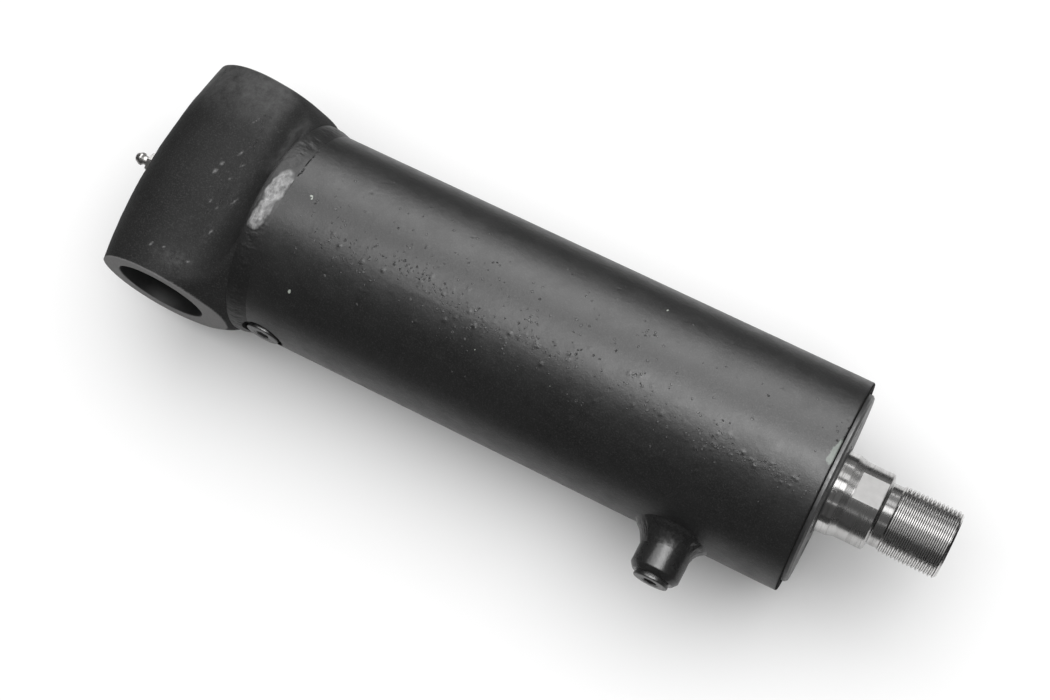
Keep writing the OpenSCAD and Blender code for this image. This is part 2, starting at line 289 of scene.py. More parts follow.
def fractal(points, size, octaves=3):
    """Smooth noise at each point, about -1 to 1, with features of the given size in mm."""
    return np.array([noise.fractal(Vector(p / size), 0.6, 2.0, octaves) for p in points])


# ------------------------ material helpers

class Nodes:
    """A short way to write a node material. Sizes are in mm."""

    def __init__(self, name):
        self.material = bpy.data.materials.new(name)
        self.material.use_nodes = True
        self.tree = self.material.node_tree
        self.shader = self.tree.nodes["Principled BSDF"]
        self.place = self.add("ShaderNodeTexCoord").outputs["Object"]

    def add(self, kind, **settings):
        made = self.tree.nodes.new(kind)
        for key, value in settings.items():
            setattr(made, key, value)
        return made

    def plug(self, socket, value):
        if isinstance(value, bpy.types.NodeSocket):
            self.tree.links.new(value, socket)
        else:
            socket.default_value = value

    def set(self, **values):
        for key, value in values.items():
            self.plug(self.shader.inputs[key.replace("_", " ")], value)

    def current(self, name):
            return self.shader.inputs[name].links[0].from_socket

    def math(self, operation, a, b=0.0, clamp=False):
        made = self.add("ShaderNodeMath", operation=operation, use_clamp=clamp)
        self.plug(made.inputs[0], a)
        self.plug(made.inputs[1], b)
        return made.outputs[0]

    def times(self, a, b, clamp=False):
        return self.math("MULTIPLY", a, b, clamp)

    def mix(self, factor, a, b):
        made = self.add("ShaderNodeMix", data_type="RGBA")
        self.plug(made.inputs["Factor"], factor)
        self.plug(made.inputs[6], a)
        self.plug(made.inputs[7], b)
        return made.outputs[2]

    def remap(self, value, low, high, new_low, new_high):
        made = self.add("ShaderNodeMapRange")
        for socket, v in zip(made.inputs, (value, low, high, new_low, new_high)):
            self.plug(socket, v)
        return made.outputs[0]

    def noise(self, size_mm, detail=3.0, rough=0.55, stretch=None):
        made = self.add("ShaderNodeTexNoise")
        made.inputs["Scale"].default_value = 1000 / size_mm
        made.inputs["Detail"].default_value = detail
        made.inputs["Roughness"].default_value = rough
        self.plug(made.inputs["Vector"], self.stretched(stretch))
        return made.outputs["Fac"]

    def stretched(self, stretch):
        if stretch is None:
            return self.place
        made = self.add("ShaderNodeMapping")
        made.inputs["Scale"].default_value = stretch
        self.plug(made.inputs["Vector"], self.place)
        return made.outputs["Vector"]

    def mask(self, name):
        return self.add("ShaderNodeAttribute", attribute_name=name).outputs["Fac"]

    def bump(self, height, depth_mm, normal=None):
        made = self.add("ShaderNodeBump")
        made.inputs["Strength"].default_value = 1.0
        made.inputs["Distance"].default_value = depth_mm * MM
        self.plug(made.inputs["Height"], height)
        if normal is not None:
            self.plug(made.inputs["Normal"], normal)
        return made.outputs["Normal"]


def grey(value, warmth=0.0):
    return (value * (1 + warmth), value, value * (1 - warmth), 1.0)


def paint(name, dark=0.010, light=0.015, rough=0.40, shine=0.28, grain=0.05, peel=0.08):
    """Satin black paint: uneven tone, a fine sprayed grain, and orange peel."""
    m = Nodes(name)
    tone = m.noise(38, 4, 0.6)
    speckle = m.noise(0.7, 2, 0.6)
    colour = m.mix(m.remap(tone, 0.3, 0.7, 0.0, 1.0), grey(dark), grey(light))
    colour = m.mix(m.remap(speckle, 0.5, 0.75, 0.0, 0.5), colour, grey(light * 3))
    scuff = m.noise(9, 5, 0.65)
    m.set(Base_Color=colour, Specular_IOR_Level=shine)
    m.set(Roughness=m.remap(scuff, 0.3, 0.75, rough - 0.05, rough + 0.08))
    orange_peel = m.bump(m.noise(2.6, 2, 0.5), peel)
    m.set(Normal=m.bump(m.noise(0.55, 2, 0.6), grain, normal=orange_peel))
    return m


def flake_marks(m, density):
    """Small ragged flakes and craters, thicker where the density mask is higher."""
    flake_mm, wander_mm = 1.6, 1.1
    edge = 9.0
    shift = m.add("ShaderNodeTexNoise")
    shift.inputs["Scale"].default_value = 1000 / wander_mm
    shift.inputs["Detail"].default_value = 2
    m.plug(shift.inputs["Vector"], m.place)
    push = m.add("ShaderNodeVectorMath", operation="MULTIPLY_ADD")
    m.plug(push.inputs[0], shift.outputs["Color"])
    push.inputs[1].default_value = (wander_mm * MM,) * 3
    m.plug(push.inputs[2], m.place)
    cells = m.add("ShaderNodeTexVoronoi")
    cells.inputs["Scale"].default_value = 1000 / flake_mm
    m.plug(cells.inputs["Vector"], push.outputs[0])
    split = m.add("ShaderNodeSeparateColor")
    m.plug(split.inputs[0], cells.outputs["Color"])
    chance, size, kind = split.outputs
    distance = cells.outputs["Distance"]
    there = m.math("GREATER_THAN", density, chance)
    radius = m.remap(size, 0, 1, 0.2, 0.46)
    outer = m.times(m.math("SUBTRACT", radius, distance), edge, clamp=True)
    inner_radius = m.times(radius, m.remap(kind, 0, 1, -0.2, 0.8))
    inner = m.times(m.math("SUBTRACT", inner_radius, distance), edge, clamp=True)
    shape = m.math("SUBTRACT", outer, m.times(inner, 1.5))
    return m.times(shape, there)


def barrel_paint():
    """Satin paint with flakes and craters, pits, pale chips, and a lifted patch at the rod end; painted
    highlight on the flakes' raised rims, and painted shade in the craters and pits.
    """
    m = paint("barrel_paint")
    base = m.current("Base Color")
    normal = m.current("Normal")
    bare_primer = (0.33, 0.36, 0.32, 1)
    lifted_primer = (0.19, 0.225, 0.195, 1)
    flakes = flake_marks(m, m.mask("marks"))
    # Painted shade: the pits and the crease are darkened.
    colour = m.mix(m.times(m.mask("pit"), 0.5), base, grey(0.006))
    # Painted highlight: the flakes' raised rims are lightened.
    colour = m.mix(m.times(flakes, 0.65, clamp=True), colour, grey(0.08))
    ragged = m.math("ADD", m.mask("chip"), m.remap(m.noise(0.9, 3, 0.7), 0, 1, -0.25, 0.25))
    colour = m.mix(m.remap(ragged, 0.3, 0.4, 0, 0.85), colour, bare_primer)
    torn = m.remap(m.noise(1.6, 4, 0.75), 0, 1, -0.7, 0.7)
    lifted = m.math("ADD", m.times(m.mask("lifted"), 1.4), torn)
    colour = m.mix(m.remap(lifted, 0.3, 0.6, 0, 0.55), colour, lifted_primer)
    # Painted shade: the craters' hollows and the pits are darkened, and they are also made rougher.
    hollow = m.times(flakes, -1.0, clamp=True)
    shade_and_dull = m.times(m.math("MAXIMUM", hollow, m.mask("pit")), 0.22)
    mixed = m.math("ADD", m.current("Roughness"), m.times(shade_and_dull, 0.5), clamp=True)
    m.set(Base_Color=m.mix(shade_and_dull, colour, grey(0.004)), Roughness=mixed)
    m.set(Normal=m.bump(flakes, 0.22, normal))
    return m.material


def eye_paint():
    """Paint over a forged skin: rougher and flatter, with scuffs, and thin on the machined faces. A
    painted sheen lightens the smooth zones, and the ridges are lightened, partly as worn edges and partly
    as painted highlight.
    """
    m = paint("eye_paint", dark=0.013, light=0.020, rough=0.62, shine=0.05, grain=0.10, peel=0.16)
    base = m.current("Base Color")
    scuffs = m.remap(m.noise(3.5, 5, 0.75), 0.4, 0.72, 0, 1)
    wear = m.times(m.mask("wear"), scuffs, clamp=True)
    colour = m.mix(m.times(wear, 0.75), base, grey(0.075))
    machined = m.mix(m.noise(1.2, 3, 0.7), grey(0.13, 0.01), grey(0.19, 0.01))
    colour = m.mix(m.mask("face"), colour, machined)
    flake = m.remap(m.noise(0.9, 3, 0.7), 0.35, 0.6, 0.3, 1.0)
    colour = m.mix(m.times(m.mask("chip"), flake), colour, grey(0.20))
    # Painted sheen: the smooth zones are lightened in colour as well as made glossier.
    smooth = m.mask("smooth")
    cloudy = m.remap(m.noise(5, 4, 0.7), 0.35, 0.65, 0.3, 1)
    colour = m.mix(m.times(smooth, cloudy), colour, grey(0.06))
    ridge = m.math("ABSOLUTE", m.math("SUBTRACT", m.noise(4.2, 3, 0.6, stretch=(1.6, 0.7, 1)), 0.5))
    ridge = m.times(m.math("SUBTRACT", 0.045, ridge), 22.0, clamp=True)
    broken = m.remap(m.noise(3.4, 2), 0.5, 0.62, 0, 1)
    forged = m.times(m.times(ridge, broken), m.mask("marks"))
    m.set(Normal=m.bump(forged, 0.28, m.current("Normal")))
    # The raised ridges are lightened, partly as worn edges and partly as painted highlight.
    m.set(Base_Color=m.mix(m.times(forged, 0.4), colour, grey(0.10)))
    m.set(Roughness=m.remap(smooth, 0, 1, 0.62, 0.46))
    return m.material


def weld_paint():
    """Paint on the bead, worn through to grey metal on its two heavy lumps."""
    m = paint("weld_paint", dark=0.009, light=0.013, rough=0.46, shine=0.20, grain=0.05, peel=0.05)
    base = m.current("Base Color")
    bare = m.mask("bare")
    streak = m.noise(2.4, 5, 0.7, stretch=(1.0, 0.5, 0.5))
    worn = m.mix(m.remap(streak, 0.35, 0.68, 0, 1), grey(0.13), grey(0.44))
    m.set(Base_Color=m.mix(bare, base, worn))
    m.set(Roughness=m.remap(bare, 0, 1, 0.44, 0.5))
    return m.material


def bore_steel():
    m = Nodes("bore_steel")
    m.set(Base_Color=m.mix(m.noise(4, 4), grey(0.012), grey(0.03)), Roughness=0.5, Metallic=0.4)
    m.set(Normal=m.bump(m.noise(0.5, 2, stretch=(1, 0.08, 1)), 0.02))
    return m.material


def gloss_paint():
    m = paint("port_paint", dark=0.011, light=0.015, rough=0.27, shine=0.30, grain=0.02, peel=0.10)
    return m.material


def cloudy(name, tones, cloud, patches, rough, grain, depth, metallic=1.0):
    """Two tones in clouds, uneven roughness and a fine grain; cloud, patches and grain set noises."""
    m = Nodes(name)
    m.set(Base_Color=m.mix(m.noise(*cloud), *tones), Metallic=metallic)
    m.set(Roughness=m.remap(m.noise(*patches), 0.3, 0.7, *rough))
    m.set(Normal=m.bump(m.noise(*grain), depth))
    return m.material


def plug_black():
    tones = (grey(0.018), grey(0.055))
    return cloudy("plug_black", tones, (2.5, 4), (1.0, 3), (0.28, 0.45), (0.4, 2), 0.02, 0.6)


def gland_steel():
    rings = (0.35, 2, 0.55, (1, 0.1, 0.1))
    return cloudy("gland_steel", (grey(0.05), grey(0.10)), (6, 4), (2, 3), (0.38, 0.55), rings, 0.02, 0.5)


def turned_steel(name, tone=0.55, rough=0.16, lines=0.012, line_mm=0.25):
    """Bright steel with fine rings left by the lathe."""
    m = Nodes(name)
    rings = m.noise(line_mm, 2, 0.6, stretch=(1, 0.02, 0.02))
    patch = m.noise(5, 4, 0.6)
    bands = m.noise(1.1, 3, 0.7, stretch=(1, 0.03, 0.03))
    colour = m.mix(patch, grey(tone, 0.01), grey(tone * 1.2, 0.012))
    colour = m.mix(m.remap(bands, 0.45, 0.7, 0, 0.6), colour, grey(tone * 0.6, 0.02))
    m.set(Base_Color=colour, Metallic=1.0)
    m.set(Roughness=m.remap(bands, 0.3, 0.7, rough * 0.75, rough * 1.35))
    m.set(Normal=m.bump(rings, lines))
    return m.material


def thread_steel():
    """Bright crests and roots, with flanks darkened as painted shade."""
    m = Nodes("cut_thread")
    patch = m.noise(4, 4, 0.6)
    colour = m.mix(patch, grey(0.60, 0.01), grey(0.75, 0.01))
    # Painted shade: the flanks are darkened.
    colour = m.mix(m.times(m.mask("flank_shade"), 0.92), colour, grey(0.10, 0.03))
    m.set(Base_Color=colour, Metallic=1.0)
    m.set(Roughness=m.remap(patch, 0.3, 0.7, 0.22, 0.30))
    m.set(Normal=m.bump(m.noise(0.3, 2), 0.004))
    return m.material


def flat_steel():
    """The milled wrench flats: bright and a little matt."""
    tones = (grey(0.60, 0.01), grey(0.75, 0.01))
    cuts = (0.5, 2, 0.5, (0.2, 1, 1))
    return cloudy("milled_steel", tones, (3, 4), (2.4, 3), (0.3, 0.4), cuts, 0.003)


def plain_steel(name, tone, rough):
    tones = (grey(tone * 0.75, 0.02), grey(tone * 1.2, 0.02))
    return cloudy(name, tones, (2.5, 4), (1.1, 4), (rough * 0.8, rough * 1.25), (0.4, 2), 0.012)


def soft_plastic(name, colour, rough=0.5):
    """Rubber, plastic or cloth laminate of the seals and guide rings."""
    tones = (tuple(c * 0.7 for c in colour) + (1,), tuple(colour) + (1,))
    return cloudy(name, tones, (2, 3), (1, 3), (rough - 0.08, rough + 0.08), (0.3, 2), 0.01, 0.0)


# ------------------------ pieces

def give(piece, body, slot, nodes, *materials):
    """Adds the materials, parents the piece to its body and hides the CAD nodes that it stands for."""
    for material in materials:
        piece.data.materials.append(material)
    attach(piece, body)
    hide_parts(*nodes)
    return piece


def blob(field, xs, arcs, x, arc, half_x, half_arc, height):
    """Adds one dome to a height field sampled at xs and arcs."""
    i0, i1 = np.searchsorted(xs, (x - half_x, x + half_x))
    j0, j1 = np.searchsorted(arcs, (arc - half_arc, arc + half_arc))
    if i0 == i1 or j0 == j1:
        return
    u = (xs[i0:i1, None] - x) / half_x
    v = (arcs[None, j0:j1] - arc) / half_arc
    field[i0:i1, j0:j1] += height * np.clip(1 - u * u - v * v, 0, 1) ** 1.5


# Where small marks gather in the barrel's paint: place along the barrel in mm, angle from the top in
# degrees, the spread of each, and how thickly they lie
MARK_CLUSTERS = (
    (112, -6, 8, 4.0, 0.62), (124, -9, 8, 3.0, 0.50), (135, -11, 6, 2.0, 0.45),
    (150, -14, 9, 3.0, 0.50), (160, -19, 10, 3.0, 0.28), (84, -10, 12, 7.0, 0.28),
    (95, -17, 8, 3.0, 0.34), (72, -2, 8, 6.0, 0.16), (181, -6, 5, 6.0, 0.42),
    (184, -14, 9, 2.5, 0.46), (202, -13, 4, 4.5, 0.55), (204, -4, 8, 6.0, 0.18),
    (232, -6, 4, 2.5, 0.45), (229, 16, 3, 2.5, 0.40), (276, -14, 5, 4.5, 0.42),
    (272, -21, 12, 2.5, 0.40), (298, -19, 12, 2.0, 0.48), (312, -22, 9, 3.0, 0.36),
    (246, -16, 14, 5.0, 0.16), (190, 10, 60, 14.0, 0.05), (130, 14, 30, 9.0, 0.06),
    (170, -25, 60, 8.0, 0.10), (323, 14, 2.5, 5.0, 0.35),
)

# Pits in the paint: place along the barrel in mm, angle from the top in degrees, radius
PITS = (
    (88, 35, 0.9), (83, 22, 1.1), (86, 22.5, 0.7), (135, 24, 0.9), (205, 35, 0.9), (207, 38, 0.8),
    (290, 8.5, 1.1), (109, 17, 0.6), (176, 16, 0.5), (69, 15, 0.8), (286, 7.5, 0.7),
)

# Chips down to the primer: place, angle, half sizes along and around, strength
CHIPS = (
    (60, 5.2, 1.4, 0.9, 0.65), (60.8, 4.0, 0.7, 0.7, 0.9), (69, -44.5, 1.1, 1.7, 0.8),
    (229, 36, 0.5, 0.9, 1.6), (161, -29, 0.5, 0.5, 0.6), (199, -29, 1.0, 0.4, 0.5),
    (192, -42, 0.5, 0.4, 0.4), (101, 39, 1.4, 0.6, 0.25),
)

# Where the paint has lifted from the rim beside the rod: place, angle, half sizes
LIFTED_SPOTS = ((324.4, 3, 3.4, 3.6), (325, 7, 2.2, 3.2), (323.6, -2, 2.4, 4.0))


def scatter_marks(height, marks, xs, arcs):
    """Adds each cluster's blisters and hollows to the height, and its density to the marks."""
    random = np.random.default_rng(11)
    for x, angle, spread_x, spread_angle, strength in MARK_CLUSTERS:
        along = np.exp(-0.5 * ((xs - x) / spread_x) ** 2)
        across = np.exp(-0.5 * ((arcs / DEGREE - angle) / spread_angle) ** 2)
        marks += strength * along[:, None] * across[None, :]
        for _ in range(int(strength * spread_x * 4)):
            size = random.uniform(0.6, 1.3)
            blob(
                height, xs, arcs,
                random.normal(x, spread_x), random.normal(angle, spread_angle) * DEGREE,
                size, size * random.uniform(0.6, 1.4), size * random.uniform(-0.06, 0.20),
            )


def add_ridge(height, xs, arcs):
    for x in np.arange(118, 158, 0.8):
        wander = 0.6 * noise.noise(Vector((x / 9, 2.0, 0)))
        blob(height, xs, arcs, x, -16.5 * DEGREE + wander, 1.8, 2.2, 0.014)


def add_crease(height, pit, xs, arcs):
    """A jagged crease beside the weld's flat pad, with painted shade along it through the pit mask."""
    for angle in np.arange(12, 33, 0.3):
        place = 49.0 + 0.9 * noise.noise(Vector((angle / 3.5, 2.0, 0))) - 0.03 * (angle - 12)
        if noise.noise(Vector((angle / 4.0, 8.0, 1))) > -0.5:
            blob(height, xs, arcs, place, angle * DEGREE, 0.42, 0.5, -0.28)
            blob(pit, xs, arcs, place, angle * DEGREE, 0.5, 0.5, 0.9)


def barrel_relief(xs, arcs):
    """Heights of the marks in the paint, and masks of chips, pits with their painted shade, lifted paint
    and small marks.
    """
    height, chip, lifted, pit, marks = (np.zeros((len(xs), len(arcs))) for _ in range(5))
    scatter_marks(height, marks, xs, arcs)
    add_ridge(height, xs, arcs)
    add_crease(height, pit, xs, arcs)
    for x, angle, size in PITS:
        blob(height, xs, arcs, x, angle * DEGREE, size, size, -0.22 * size)
        blob(pit, xs, arcs, x, angle * DEGREE, size, size, 0.9)
    for x, angle, half_x, half_arc, strength in CHIPS:
        blob(chip, xs, arcs, x, angle * DEGREE, half_x, half_arc, strength)
        blob(height, xs, arcs, x, angle * DEGREE, half_x, half_arc, -0.05)
    for x, angle, half_x, half_arc in LIFTED_SPOTS:
        blob(lifted, xs, arcs, x, angle * DEGREE, half_x, half_arc, 0.8)
    masks = {"chip": chip, "lifted": lifted, "pit": pit, "marks": 1.3 * marks}
    return height, {name: np.clip(values, 0, 1) for name, values in masks.items()}


# The end's chamfer in mm, smaller than in the CAD source because that looks closer to the photograph
BARREL_CHAMFER = 0.6


def barrel_mesh(xs, angles, height):
    """The tube: a fine grid outside that carries the relief, then the chamfered end and the bore."""
    t = np.radians(angles)
    count = len(t)
    radius = BARREL_R + height
    outside = (np.repeat(xs[:, None], count, 1), radius * np.sin(t), radius * np.cos(t))
    vertices = [tuple(p) for p in np.stack(outside, -1).reshape(-1, 3)]
    rings = [list(range(i * count, (i + 1) * count)) for i in range(len(xs))]
    end, chamfer = BARREL_END, BARREL_CHAMFER
    rim = rounded([
        (end - chamfer - 0.3, BARREL_R, 0), (end - chamfer, BARREL_R, 0.2),
        (end, BARREL_R - chamfer, 0.2), (end, GLAND_SEAT_R + 0.5, 0.2),
        (end - 0.5, GLAND_SEAT_R, 0), (end - 33, GLAND_SEAT_R, 0),
        (end - 34, BORE_R, 0), (SEAM_X, BORE_R, 0), (SEAM_X, BARREL_R - 4, 0),
    ], 3)
    for a, r in rim:
        rings.append([len(vertices) + k for k in range(count)])
        vertices += [along_x(a, r, angle) for angle in t]
    rings.append(rings[0])
    faces = []
    for one, two in zip(rings, rings[1:]):
        faces += [(one[k], one[(k + 1) % count], two[(k + 1) % count], two[k]) for k in range(count)]
    return new_object("barrel_shell", vertices, faces)


def make_barrel(material, end_shade_material):
    # The tube starts under the bead. Its grid is fine on the marked side and coarse on the rest.
    start = SEAM_X + 3
    fine_low, fine_high = -52, 48
    xs = np.arange(start, BARREL_END - BARREL_CHAMFER, 0.55)
    angles = np.concatenate((
        np.arange(-180, fine_low, 2.0),
        np.arange(fine_low, fine_high, 0.62),
        np.arange(fine_high, 180, 2.0),
    ))
    height, masks = barrel_relief(xs, angles * DEGREE)
    obj = barrel_mesh(xs, angles, height)
    points = get_points(obj)
    angle = np.degrees(np.arctan2(points[:, 1], points[:, 2]))
    i = np.clip(np.searchsorted(xs, points[:, 0] - 0.01), 0, len(xs) - 1)
    j = np.clip(np.searchsorted(angles, angle - 0.01), 0, len(angles) - 1)
    outside = np.hypot(points[:, 1], points[:, 2]) > BARREL_R - BARREL_CHAMFER - 0.1
    for name, values in masks.items():
        add_mask(obj, name, np.where(outside, values[i, j], 0))
    combine(obj, port_seat_cutter(), sharp=25)
    obj.data.materials.append(material)
    obj.data.materials.append(end_shade_material)
    # The end face takes the painted shade material.
    for face in obj.data.polygons:
        if face.center.x / MM > BARREL_END - 0.45 and face.normal.x > 0.6:
            face.material_index = 1
    return give(obj, "barrel", "barrel_paint", ["barrel_tube"])


def smoothed(obj, weight, rounds):
    """Evens out a mesh where weight is over 0."""
    mesh = obj.data
    edges = np.zeros(len(mesh.edges) * 2, int)
    mesh.edges.foreach_get("vertices", edges)
    edges = edges.reshape(-1, 2)
    points = get_points(obj)
    degree = np.bincount(edges.ravel(), minlength=len(points))[:, None]
    for _ in range(rounds):
        total = np.zeros_like(points)
        np.add.at(total, edges[:, 0], points[edges[:, 1]])
        np.add.at(total, edges[:, 1], points[edges[:, 0]])
        points += (total / np.maximum(degree, 1) - points) * weight[:, None]
    set_points(obj, points)


def eye_boss(half):
    """The crowned boss round the pin, longer than it is once its two faces are cut."""
    ys = np.linspace(-half, half, 27)
    crown = [(y, EYE_R - EYE_CROWN_R + math.sqrt(EYE_CROWN_R ** 2 - y * y)) for y in ys]
    return turned("eye_forging", [(-half, 0), *crown, (half, 0)], along_y, 160), crown[0][1]


def eye_neck(half, end_r):
    """A slab that flares from the boss to the seam, rounded down to a cone on the barrel's axis."""
    flare = 22.5
    flare_start = 16
    shoulder = SEAM_X - 5
    steps = 18
    side = [(-2, end_r)]
    for k in range(steps + 1):
        a = math.radians(90 * k / steps)
        x = flare_start + (shoulder - flare_start) * math.sin(a)
        side.append((x, end_r + flare * (1 - math.cos(a))))
    side += [(SEAM_X, BARREL_R)]
    outline = side + [(x, -z) for x, z in reversed(side)]
    count = len(outline)
    vertices = [(x, y, z) for y in (-half, half) for x, z in outline]
    faces = [tuple(range(count)), tuple(range(count, 2 * count))]
    faces += [(k, (k + 1) % count, count + (k + 1) % count, count + k) for k in range(count)]
    neck = new_object("eye_neck", vertices, faces)
    toe = BARREL_R + 1.5
    cone = turned("eye_cone", [
        (-3, 0), (-3, 61.5), (18, 61.5), (30, 58.4), (36.5, 56.0), (shoulder + 0.4, toe + 0.3),
        (SEAM_X - 4, toe), (SEAM_X - 3, toe - 1.5), (SEAM_X - 0.5, 48.5), (SEAM_X - 0.5, 0),
    ], along_x, 160)
    combine(neck, cone, "INTERSECT")
    return neck


def eye_solid():
    """The crowned boss, its neck and the round base, joined and remeshed into one skin."""
    half = EYE_HALF + 4.0
    boss, end_r = eye_boss(half)
    join(boss, eye_neck(half, end_r))
    remesh = boss.modifiers.new("skin", "REMESH")
    remesh.mode = "VOXEL"
    remesh.voxel_size = 0.0009
    bake_modifiers(boss)
    return boss


# Chips in the eye's paint: centre x and y, direction in radians, half length and half width
EYE_CHIPS = (
    (7.4, 5.4, 1.2, 1.5, 0.8), (6.5, 0.4, 1.4, 1.9, 0.8), (3.3, -43.0, 0.3, 0.8, 0.4),
    (-3.0, -44.0, 1.2, 1.8, 0.35), (16.6, -43.5, 0.5, 1.8, 0.4), (12.0, 14.5, 1.3, 2.2, 0.35),
    (15.6, 9.7, 1.0, 2.2, 0.3), (14, 0.7, 0.7, 1.8, 0.25), (11.9, -12.5, 1.4, 2.2, 0.3),
    (15.6, -14.4, 1.0, 1.6, 0.3), (18.5, -26, 1.3, 2.6, 0.3), (9.8, 32.4, 1.2, 2.2, 0.25),
    (21, -8, 1.2, 3.0, 0.3), (37.6, -11.0, 1.45, 5.0, 0.4),
)


def blend_valleys(obj):
    """Rounds the valleys where the boss runs into the base, and takes the voxel steps out."""
    x, _, z = get_points(obj).T
    hollow = smooth_step(x, 2, 12) * (1 - smooth_step(x, 36.5, 38.5)) * smooth_step(np.abs(z), 14, 24)
    smoothed(obj, 0.5 * np.clip(hollow + 0.10, 0, 1), 60)


def forge_skin(obj):
    """Slow waves over the whole forging, and small scale marks on top."""
    points = get_points(obj)
    x, y, z = points.T
    normals = np.zeros(len(points) * 3)
    obj.data.vertices.foreach_get("normal", normals)
    normals = normals.reshape(-1, 3)
    waves = fractal(points, 26, 2) * 0.28 + fractal(points, 7, 3) * 0.07
    marks = np.clip(fractal(points * np.array((1.6, 1.0, 1.0)), 2.6, 3) - 0.25, 0, 1) * 0.35
    zone = hump(x, 24, 7) * hump(y, -5, 34) * smooth_step(z, 10, 30)
    zone += hump(x, 3, 12) * hump(y, -38, 10) * smooth_step(z, 10, 26)
    keep = 1 - smooth_step(x, 36, 39)
    points += normals * ((waves + marks * np.clip(zone, 0, 1)) * keep)[:, None]
    set_points(obj, points)


def cut_eye(obj):
    """Cuts the two flat faces, the pin bore with its chamfers, the fitting's spot and the port seat."""
    combine(obj, box_object("cut_a", (-60, -80, -80), (60, -EYE_HALF, 80)))
    combine(obj, box_object("cut_b", (-60, EYE_HALF, -80), (60, 80, 80)))
    reach = EYE_HALF + 3
    chamfer = 0.4
    pin = turned("cut_pin", [
        (-reach, 0), (-reach, PIN_R + 3 + chamfer), (-EYE_HALF + chamfer, PIN_R),
        (EYE_HALF - chamfer, PIN_R), (reach, PIN_R + 3 + chamfer), (reach, 0),
    ], along_y, 160)
    combine(obj, pin)
    spot_x, spot_r = -36.0, 7
    combine(obj, turned("cut_spot", [(-45, 0), (-45, spot_r), (spot_x, spot_r), (spot_x, 0)], along_x, 64))
    combine(obj, port_seat_cutter(), sharp=35)


def mask_eye(obj):
    """Marks the machined faces, the scuffs, the smooth zones that also carry a painted sheen, the rough
    zones, and the chips.
    """
    points = get_points(obj)
    x, y, z = points.T
    add_mask(obj, "face", smooth_step(np.abs(y), EYE_HALF - 0.5, EYE_HALF - 0.05))
    top = smooth_step(z, 5, 20)
    scuff = hump(x, 9, 8) * hump(y, -46, 5)
    add_mask(obj, "wear", top * np.clip(scuff + 0.12 * hump(x, 14, 6), 0, 1))
    smooth = smooth_step(y, 22, 46) * (1 - smooth_step(x, 14, 26))
    # The valley before the base joins the sheen mask: painted light that fills its shade.
    hollow = hump(x, 32, 5) * smooth_step(y, 8, 16) * (1 - smooth_step(y, 34, 46))
    add_mask(obj, "smooth", top * np.clip(smooth + 1.3 * hollow, 0, 1.3))
    zone = hump(x, 15, 8) * smooth_step(y, -38, -20) * (1 - smooth_step(y, 30, 50))
    zone += hump(x, 34, 5) * smooth_step(y, -20, -5) * (1 - smooth_step(y, 30, 45))
    add_mask(obj, "marks", top * np.clip(zone + 0.8 * scuff, 0, 1))
    chip = np.zeros(len(points))
    for cx, cy, turn, long, wide in EYE_CHIPS:
        u = (x - cx) * math.cos(turn) + (y - cy) * math.sin(turn)
        v = (y - cy) * math.cos(turn) - (x - cx) * math.sin(turn)
        chip = np.maximum(chip, np.clip(1.5 * (1 - np.hypot(u / long, v / wide)), 0, 1))
    add_mask(obj, "chip", np.where(z > 0, chip, 0))


def make_eye(material, bore_material):
    obj = eye_solid()
    blend_valleys(obj)
    forge_skin(obj)
    cut_eye(obj)
    mask_eye(obj)
    obj.data.materials.append(material)
    obj.data.materials.append(bore_material)
    for face in obj.data.polygons:
        c = face.center / MM
        if abs(c.y) < EYE_HALF - 0.8 and math.hypot(c.x, c.z) < PIN_R + 0.05:
            face.material_index = 1
    return give(obj, "barrel", "eye_paint", ["base_eye"])


def port_seat_cutter():
    """The round seat cut into the barrel, bead and eye base for the cap-end port."""
    clear = 60
    outline = [(SPOTFACE_Y, 0), (SPOTFACE_Y, SPOTFACE_R), (clear, SPOTFACE_R), (clear, 0)]
    return turned("seat_cutter", outline, port_placer(CAP_PORT_X), 96)


# The weld's closing lumps: place along the barrel in mm, angle from the top in degrees, half sizes
# along and around, height, and how far out their tops stay level
WELD_LUMPS = (
    (44.4, 2.2, 4.6, 10.4, 1.3, 0.25), (43.2, -13.4, 4.0, 8.6, 1.5, 0.25),
    (43.6, 21.5, 4.4, 10.0, 0.45, 0.1),
)


def weld_lump(x, arc):
    """Height of the lumps at a place on the bead, and how far that place is onto their rims."""
    lean, power = 0.12, 2.6
    height = rim = 0.0
    for k, (lump_x, angle, half_x, half_arc, rise, level) in enumerate(WELD_LUMPS):
        u = (x - lump_x - lean * (arc - math.radians(angle) * BARREL_R)) / half_x
        v = (arc - math.radians(angle) * BARREL_R) / half_arc
        wobble = 0.16 * noise.noise(Vector((x / 3.1, arc / 3.1, 9.0 + k)))
        d = (abs(u) ** power + abs(v) ** power) ** (1 / power) + wobble
        height = max(height, rise * float(1 - smooth_step(d, level, 1.06)))
        if rise > 1:
            fade = 1 - 0.3 * float(np.clip(v, -1, 1))
            rim = max(rim, float(1 - smooth_step(d, 0.74, 1.0)) * fade / 1.3)
    return height, rim


